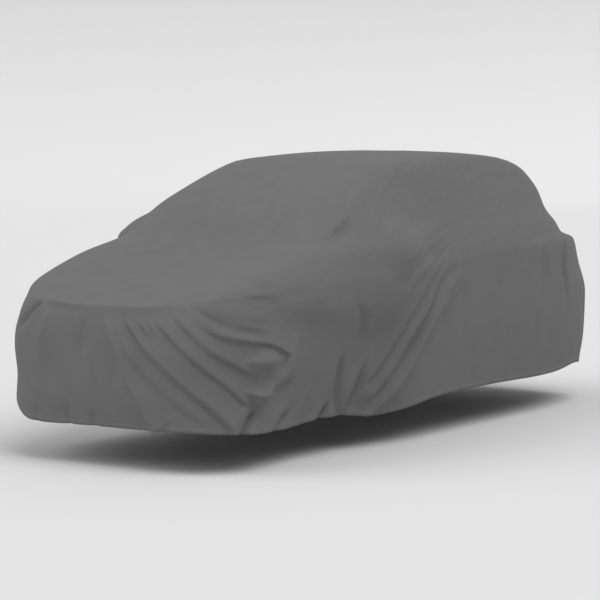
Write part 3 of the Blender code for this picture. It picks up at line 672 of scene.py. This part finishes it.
@dataclass(frozen=True)
class WovenPolyester:
    """Mid-grey woven polyester: plain weave, faint mottling and the thread of the hem."""

    name: str = "grey_polyester"
    colour: tuple[float, float, float] = (0.139, 0.139, 0.141)
    dark_share: float = 0.94
    light_share: float = 1.05
    thread_share: float = 1.35
    roughness: float = 0.84
    roughness_spread: float = 0.05
    specular: float = 0.22
    sheen: float = 0.02
    sheen_roughness: float = 0.5
    weave_pitch: float = 0.0012
    weave_height: float = 0.00012
    mottle_scale: float = 9.0
    mottle_detail: float = 4.0
    slub_scale: float = 140.0
    slub_detail: float = 2.0
    slub_share: float = 0.5
    dark_until: float = 0.45
    light_from: float = 1.0
    stitch_bump: float = 3.0
    stitch_height: float = 0.022
    stitch_half: float = 0.0008
    stitch_pitch: float = 0.005
    stitch_share: float = 0.7

    NOISE_MIDDLE = 0.5

    def shade(self, share: float) -> tuple[float, float, float, float]:
        """The cloth's colour, made darker or lighter by a share."""
        return (*[value * share for value in self.colour], 1.0)

    def material(self) -> bpy.types.Material:
        """Make the cloth's material, with its nodes on the piece's own UV map in metres.

        Returns:
            The material.
        """
        made = bpy.data.materials.new(self.name)
        made.use_nodes = True
        nodes, links = made.node_tree.nodes, made.node_tree.links
        shader = nodes["Principled BSDF"]
        shader.inputs["Specular IOR Level"].default_value = self.specular
        shader.inputs["Sheen Weight"].default_value = self.sheen
        shader.inputs["Sheen Roughness"].default_value = self.sheen_roughness
        place = nodes.new("ShaderNodeUVMap")
        place.uv_map = CoverCloth.UV_NAME
        axes = nodes.new("ShaderNodeSeparateXYZ")
        links.new(place.outputs["UV"], axes.inputs[0])

        def math_node(kind: str, first: object, second: object = 0.0) -> bpy.types.NodeSocket:
            """Add one math node.

            Args:
                kind: What the node works out.
                first: Its first socket or number.
                second: Its second.

            Returns:
                The node's result.
            """
            node = nodes.new("ShaderNodeMath")
            node.operation = kind
            for slot, value in enumerate((first, second)):
                if isinstance(value, bpy.types.NodeSocket):
                    links.new(value, node.inputs[slot])
                else:
                    node.inputs[slot].default_value = value
            return node.outputs[0]

        run, climb = axes.outputs[0], axes.outputs[1]
        turn = 2 * math.pi / self.weave_pitch
        warp = math_node("SINE", math_node("MULTIPLY", run, turn))
        weft = math_node("SINE", math_node("MULTIPLY", climb, turn))
        weave = math_node("MULTIPLY", warp, weft)

        beside = math_node("ABSOLUTE", math_node("SUBTRACT", climb, self.stitch_height))
        on_line = math_node("LESS_THAN", beside, self.stitch_half)
        beat = math_node("FRACT", math_node("DIVIDE", run, self.stitch_pitch))
        stitch = math_node("MULTIPLY", on_line, math_node("LESS_THAN", beat, self.stitch_share))

        mottle = nodes.new("ShaderNodeTexNoise")
        mottle.inputs["Scale"].default_value = self.mottle_scale
        mottle.inputs["Detail"].default_value = self.mottle_detail
        links.new(place.outputs["UV"], mottle.inputs["Vector"])
        slub = nodes.new("ShaderNodeTexNoise")
        slub.inputs["Scale"].default_value = self.slub_scale
        slub.inputs["Detail"].default_value = self.slub_detail
        links.new(place.outputs["UV"], slub.inputs["Vector"])
        slubs = math_node("MULTIPLY", slub.outputs["Fac"], self.slub_share)
        tone = math_node("ADD", mottle.outputs["Fac"], slubs)

        ramp = nodes.new("ShaderNodeValToRGB")
        dark, light = ramp.color_ramp.elements
        dark.position, dark.color = self.dark_until, self.shade(self.dark_share)
        light.position, light.color = self.light_from, self.shade(self.light_share)
        links.new(tone, ramp.inputs["Fac"])
        threaded = nodes.new("ShaderNodeMix")
        threaded.data_type = "RGBA"
        threaded.inputs["B"].default_value = self.shade(self.thread_share)
        links.new(stitch, threaded.inputs["Factor"])
        links.new(ramp.outputs["Color"], threaded.inputs["A"])
        links.new(threaded.outputs["Result"], shader.inputs["Base Color"])

        uneven = math_node("SUBTRACT", mottle.outputs["Fac"], self.NOISE_MIDDLE)
        gloss = math_node("MULTIPLY", uneven, self.roughness_spread)
        links.new(math_node("ADD", gloss, self.roughness), shader.inputs["Roughness"])

        bump = nodes.new("ShaderNodeBump")
        bump.inputs["Distance"].default_value = self.weave_height
        raised = math_node("MULTIPLY", stitch, self.stitch_bump)
        links.new(math_node("ADD", weave, raised), bump.inputs["Height"])
        links.new(bump.outputs["Normal"], shader.inputs["Normal"])
        return made


@dataclass
class CoverCloth:
    """The cover's one cloth: a fine outer face, a plainer inner face and the hem between them.

    Its rows lie in bands and closeness says how close its columns are at each run.  The
    inner face lies in by hem_thick at the hem and by wall_thick from wall_full up.
    """

    form: CoverForm
    finish: WovenPolyester
    name: str = "hung_cloth"
    hem_thick: float = 0.0024
    wall_thick: float = 0.0100
    wall_full: float = 0.080
    columns: int = 640
    skirt_rows: int = 84
    belt_rows: int = 27
    shoulder_rows: int = 16
    crown_rows: int = 6
    skirt_level: float = 4.6
    belt_level: float = 7.4
    shoulder_level: float = 10.5
    inner_step: int = 2
    spacing_angle: float = 62.0
    fine_levels: int = 100
    hem_rows: tuple[float, ...] = (0.0, 0.012, 0.0245, 0.0275)
    hem_stand: float = 0.0012
    hem_top: float = 0.026
    closeness: tuple[tuple[float, float], ...] = (
        (-5.58, 32.0), (-4.10, 34.0), (-3.20, 30.0), (-2.90, 50.0), (-1.20, 55.0), (-0.75, 90.0),
        (-0.40, 105.0), (-0.10, 132.0), (1.25, 132.0), (1.50, 85.0), (3.00, 85.0), (3.20, 30.0),
        (4.05, 30.0), (4.20, 55.0), (4.45, 55.0), (4.70, 30.0), (5.58, 32.0),
    )
    flat_width: float = 4.1
    flat_length: float = 6.4
    cut_area: float = 17.5

    UV_NAME = "cloth_metres"

    @cached_property
    def angles(self) -> Array:
        """Space the columns, closer together where closeness says so.

        Returns:
            The angle of each column.
        """
        angles, runs = self.form.waist_line
        places = [place for place, close in self.closeness]
        close = np.interp(runs, places, [close for place, close in self.closeness])
        filled = np.concatenate([[0.0], np.cumsum((close[1:] + close[:-1]) / 2 * np.diff(runs))])
        return np.interp(np.arange(self.columns) / self.columns * filled[-1], filled, angles)

    @cached_property
    def climbs(self) -> tuple[Array, Array]:
        """Measure the cloth from the hem up, beside the front corner.

        Returns:
            Fine levels, and the length of cloth up to each.
        """
        top = len(self.form.levels) - 1
        levels = np.linspace(0.0, top, top * self.fine_levels + 1)
        points = self.form.tight(np.full(levels.shape, self.spacing_angle), levels)
        lengths = np.linalg.norm(np.diff(points, axis=0), axis=1)
        return levels, np.concatenate([[0.0], np.cumsum(lengths)])

    def rows(self) -> list[tuple[float, int]]:
        """Space the rows from the hem up.

        Returns:
            Each row's level, and how many columns go into one of its own.
        """
        levels, climbs = self.climbs
        top = levels[-1]

        def even(low: float, high: float, count: int, last: bool = False) -> Array:
            """Part the cloth between two levels into even rows.

            Args:
                low: The level of the first row.
                high: The level where they end.
                count: How many rows there are.
                last: Whether the last row lies at the end itself.

            Returns:
                The rows' levels.
            """
            ends = np.interp([low, high], levels, climbs)
            return np.interp(np.linspace(*ends, count, endpoint=last), climbs, levels)

        hem = np.interp(self.hem_rows, climbs, levels)
        bands = (
            (hem[:-1], 1),
            (even(hem[-1], self.skirt_level, self.skirt_rows), 1),
            (even(self.skirt_level, self.belt_level, self.belt_rows), 1),
            (even(self.belt_level, self.shoulder_level, self.shoulder_rows), 2),
            (even(self.shoulder_level, top, self.crown_rows, True), 4),
        )
        return [(float(level), stride) for band, stride in bands for level in band]

    def build(self) -> bpy.types.Object:
        """Build the cloth as a closed thin sheet and dress it.

        Returns:
            The finished piece.
        """
        mesh = bmesh.new()
        where: dict[bmesh.types.BMVert, tuple[float, float]] = {}
        rows = self.rows()
        outer = [self.ring(mesh, where, level, stride, True) for level, stride in rows]
        inner = [
            self.ring(mesh, where, level, self.inner_step * stride, False)
            for level, stride in rows[::self.inner_step]
        ]
        rings = inner[::-1] + outer
        for low, high in zip(rings, rings[1:]):
            self.join(mesh, low, high)
        self.close(mesh, rings[0][::-1], where)
        self.close(mesh, rings[-1], where)
        self.unwrap(mesh, where)
        data = bpy.data.meshes.new(self.name)
        mesh.to_mesh(data)
        mesh.free()
        piece = bpy.data.objects.new(self.name, data)
        bpy.context.collection.objects.link(piece)
        data.materials.append(self.finish.material())
        self.declare(piece)
        return piece

    def ring(
        self, mesh: bmesh.types.BMesh, where: dict, level: float, stride: int, outside: bool
    ) -> list[bmesh.types.BMVert]:
        """Add one row of vertices.

        Args:
            mesh: The mesh that takes them.
            where: The run and climb of each vertex, which gains this row's.
            level: The row's place between the level lines.
            stride: How many columns go into one of its own.
            outside: Whether the row is on the outer face.

        Returns:
            The row's vertices.
        """
        angles = self.angles[::stride]
        spread = np.full(angles.shape, level)
        climb = float(np.interp(level, *self.climbs))
        if outside:
            out = self.hem_stand if climb < self.hem_top else 0.0
        else:
            thick = (self.hem_thick, self.wall_thick)
            out = -float(np.interp(climb, (0.0, self.wall_full), thick))
        points = self.form.hanging(angles, spread) + out * self.form.outward(angles, spread)
        verts = [mesh.verts.new(point) for point in points]
        for vert, run in zip(verts, np.interp(angles, *self.form.waist_line)):
            where[vert] = (float(run), climb)
        return verts

    @staticmethod
    def join(mesh: bmesh.types.BMesh, low: list, high: list) -> None:
        """Add the faces between two rows, where one may have twice as many vertices.

        Args:
            mesh: The mesh that takes them.
            low: The first row's vertices.
            high: The next row's vertices.
        """
        few = min(len(low), len(high))
        for index in range(few):
            ahead = (index + 1) % few
            if len(low) == len(high):
                mesh.faces.new((low[index], low[ahead], high[ahead], high[index]))
            elif len(low) > few:
                first, middle, last = low[2 * index], low[2 * index + 1], low[2 * ahead]
                mesh.faces.new((first, middle, high[index]))
                mesh.faces.new((middle, last, high[ahead]))
                mesh.faces.new((middle, high[ahead], high[index]))
            else:
                first, middle, last = high[2 * index], high[2 * index + 1], high[2 * ahead]
                mesh.faces.new((low[index], middle, first))
                mesh.faces.new((low[index], low[ahead], middle))
                mesh.faces.new((low[ahead], last, middle))

    @staticmethod
    def close(mesh: bmesh.types.BMesh, ring: list, where: dict) -> None:
        """Close the crown from a row to the middle of the roof.

        Args:
            mesh: The mesh that takes the faces.
            ring: The row's vertices, in the order that faces the crown the right way.
            where: The run and climb of each vertex, which gains the middle's.
        """
        height = sum(vert.co.z for vert in ring) / len(ring)
        middle = mesh.verts.new((0.0, 0.0, height))
        where[middle] = (0.0, where[ring[0]][1])
        for index, vert in enumerate(ring):
            mesh.faces.new((vert, ring[(index + 1) % len(ring)], middle))

    def unwrap(self, mesh: bmesh.types.BMesh, where: dict) -> None:
        """Shade the faces smooth and lay the weave over them in metres.

        Args:
            mesh: The finished mesh.
            where: The run and climb of each vertex.
        """
        metres = mesh.loops.layers.uv.new(self.UV_NAME)
        runs = self.form.waist_line[1]
        around = runs[-1] - runs[0]
        for face in mesh.faces:
            face.smooth = True
            first = min(where[loop.vert][0] for loop in face.loops)
            for loop in face.loops:
                run, climb = where[loop.vert]
                loop[metres].uv = (run - around if run - first > around / 2 else run, climb)

    def declare(self, piece: bpy.types.Object) -> None:
        """Hang the cloth on the root body and hide the part it stands for.

        Args:
            piece: The finished piece.
        """
        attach(piece, "root")
        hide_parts("cover_cloth")


@dataclass(frozen=True)
class PaleFloor:
    """Matt pale paint of the studio's floor."""

    name: str = "pale_floor"
    colour: tuple[float, float, float] = (0.70, 0.70, 0.70)
    roughness: float = 0.9
    specular: float = 0.1

    def material(self) -> bpy.types.Material:
        """Make the floor's material.

        Returns:
            The material.
        """
        made = bpy.data.materials.new(self.name)
        made.use_nodes = True
        shader = made.node_tree.nodes["Principled BSDF"]
        shader.inputs["Base Color"].default_value = (*self.colour, 1.0)
        shader.inputs["Roughness"].default_value = self.roughness
        shader.inputs["Specular IOR Level"].default_value = self.specular
        return made


@dataclass(frozen=True)
class SoftLight:
    """A far soft box.  turn, plus to the right of the camera, climb and spread are in degrees."""

    name: str
    turn: float
    climb: float
    strength: float
    spread: float = 50.0


@dataclass
class Studio:
    """The pale floor that curves up all round, the soft light and the camera."""

    finish: PaleFloor
    ground: float = -HELD_HEIGHT
    floor_radius: float = 34.0
    bend_radius: float = 8.0
    bend_angle: float = 90.0
    bend_steps: int = 12
    around_steps: int = 96
    sky: float = 0.47
    lights: tuple[SoftLight, ...] = (
        SoftLight("left_box", -80.0, 35.0, 1.08),
        SoftLight("top_box", 45.0, 60.0, 1.58),
        SoftLight("back_box", 142.0, 10.0, 0.42),
    )
    camera_place: tuple[float, float, float] = (7.0317, -11.1322, 0.1380)
    camera_forward: tuple[float, float, float] = (-0.5631, 0.8224, -0.0816)
    lens: float = 126.0
    sensor: float = 36.0
    view_depth: float = 200.0

    def build(self) -> None:
        """Build the whole studio."""
        self.floor()
        self.light()
        self.camera()

    def floor(self) -> None:
        """Draw the floor as a wide round sweep whose rim is extruded up in a smooth bend."""
        bpy.ops.mesh.primitive_circle_add(
            vertices=self.around_steps,
            radius=self.floor_radius,
            fill_type="NGON",
            location=(0.0, 0.0, self.ground),
        )
        floor = bpy.context.object
        floor.name = "floor"
        bpy.ops.object.mode_set(mode="EDIT")
        bpy.ops.mesh.select_all(action="SELECT")
        out, rise = self.floor_radius, 0.0
        for step in range(1, self.bend_steps + 1):
            turn = math.radians(self.bend_angle * step / self.bend_steps)
            next_out = self.floor_radius + self.bend_radius * math.sin(turn)
            next_rise = self.bend_radius * (1 - math.cos(turn))
            if step == 1:
                bpy.ops.mesh.region_to_loop()
            bpy.ops.mesh.extrude_edges_move()
            scale = next_out / out
            middle = (0.0, 0.0, self.ground)
            bpy.ops.transform.resize(value=(scale, scale, 1.0), center_override=middle)
            bpy.ops.transform.translate(value=(0.0, 0.0, next_rise - rise))
            out, rise = next_out, next_rise
        bpy.ops.object.mode_set(mode="OBJECT")
        bpy.ops.object.transform_apply(location=True, rotation=False, scale=False)
        for face in floor.data.polygons:
            face.use_smooth = len(face.vertices) == 4
        floor.data.materials.append(self.finish.material())
        floor.select_set(False)

    def light(self) -> None:
        """Light the sky evenly and hang the soft boxes."""
        bpy.context.scene.view_settings.view_transform = "Standard"
        world = bpy.data.worlds.new("studio")
        world.use_nodes = True
        background = world.node_tree.nodes["Background"]
        background.inputs["Color"].default_value = (1.0, 1.0, 1.0, 1.0)
        background.inputs["Strength"].default_value = self.sky
        bpy.context.scene.world = world
        forward = Vector(self.camera_forward)
        back = Vector((-forward.x, -forward.y, 0.0)).normalized()
        right = Vector((forward.y, -forward.x, 0.0)).normalized()
        for box in self.lights:
            turn, climb = math.radians(box.turn), math.radians(box.climb)
            level = back * math.cos(turn) + right * math.sin(turn)
            source = level * math.cos(climb) + Vector((0.0, 0.0, math.sin(climb)))
            lamp = bpy.data.lights.new(box.name, "SUN")
            lamp.energy = box.strength
            lamp.angle = math.radians(box.spread)
            holder = bpy.data.objects.new(box.name, lamp)
            holder.rotation_euler = source.to_track_quat("Z", "Y").to_euler()
            bpy.context.collection.objects.link(holder)

    def camera(self) -> None:
        """Set the camera at the photograph's place, angle and lens."""
        lens = bpy.data.cameras.new("camera")
        lens.lens = self.lens
        lens.sensor_width = self.sensor
        lens.clip_end = self.view_depth
        camera = bpy.data.objects.new("camera", lens)
        camera.location = self.camera_place
        camera.rotation_euler = Vector(self.camera_forward).to_track_quat("-Z", "Y").to_euler()
        bpy.context.collection.objects.link(camera)
        bpy.context.scene.camera = camera


def read_folds(rows: tuple, zone: Zone) -> list[Fold]:
    """The folds of one table, whose stops follow its seven named columns."""
    return [Fold(*row[:7], row[7:], zone) for row in rows]


def all_folds() -> tuple[Fold, ...]:
    """Read every fold of the cover, with the left side's own folds repeated on the right.

    Returns:
        The folds.
    """
    skirt = read_folds(SKIRT_FOLDS, Zone.SKIRT)
    repeated = [fold for fold in skirt if fold.name.startswith(REPEATED_NAMES)]
    return (
        *skirt,
        *[fold.turned(REPEATED_SHARE, REPEATED_SHIFT) for fold in repeated],
        *read_folds(TAIL_FOLDS, Zone.SKIRT),
        *read_folds(TOP_FOLDS, Zone.TOP),
        *read_folds(FINE_FOLDS, Zone.SKIRT),
        *read_folds(FINE_TOP_FOLDS, Zone.TOP),
    )


def main() -> None:
    """Build the studio and the cloth."""
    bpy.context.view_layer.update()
    for node in bpy.context.selected_objects:
        node.select_set(False)
    Studio(PaleFloor()).build()
    LOG.info("studio: floor, light and camera")
    levels = tuple(Level(*row[:6], row[6:]) for row in LEVELS)
    tents = tuple(Tent(*row) for row in TENTS)
    sways = tuple(Sway(*row) for row in HEM_SWAY)
    form = CoverForm(levels, all_folds(), tents, sways)
    piece = CoverCloth(form, WovenPolyester()).build()
    LOG.info("%s: %d faces", piece.name, len(piece.data.polygons))


if __name__ == "__main__":
    logging.basicConfig(level=logging.INFO)
    main()
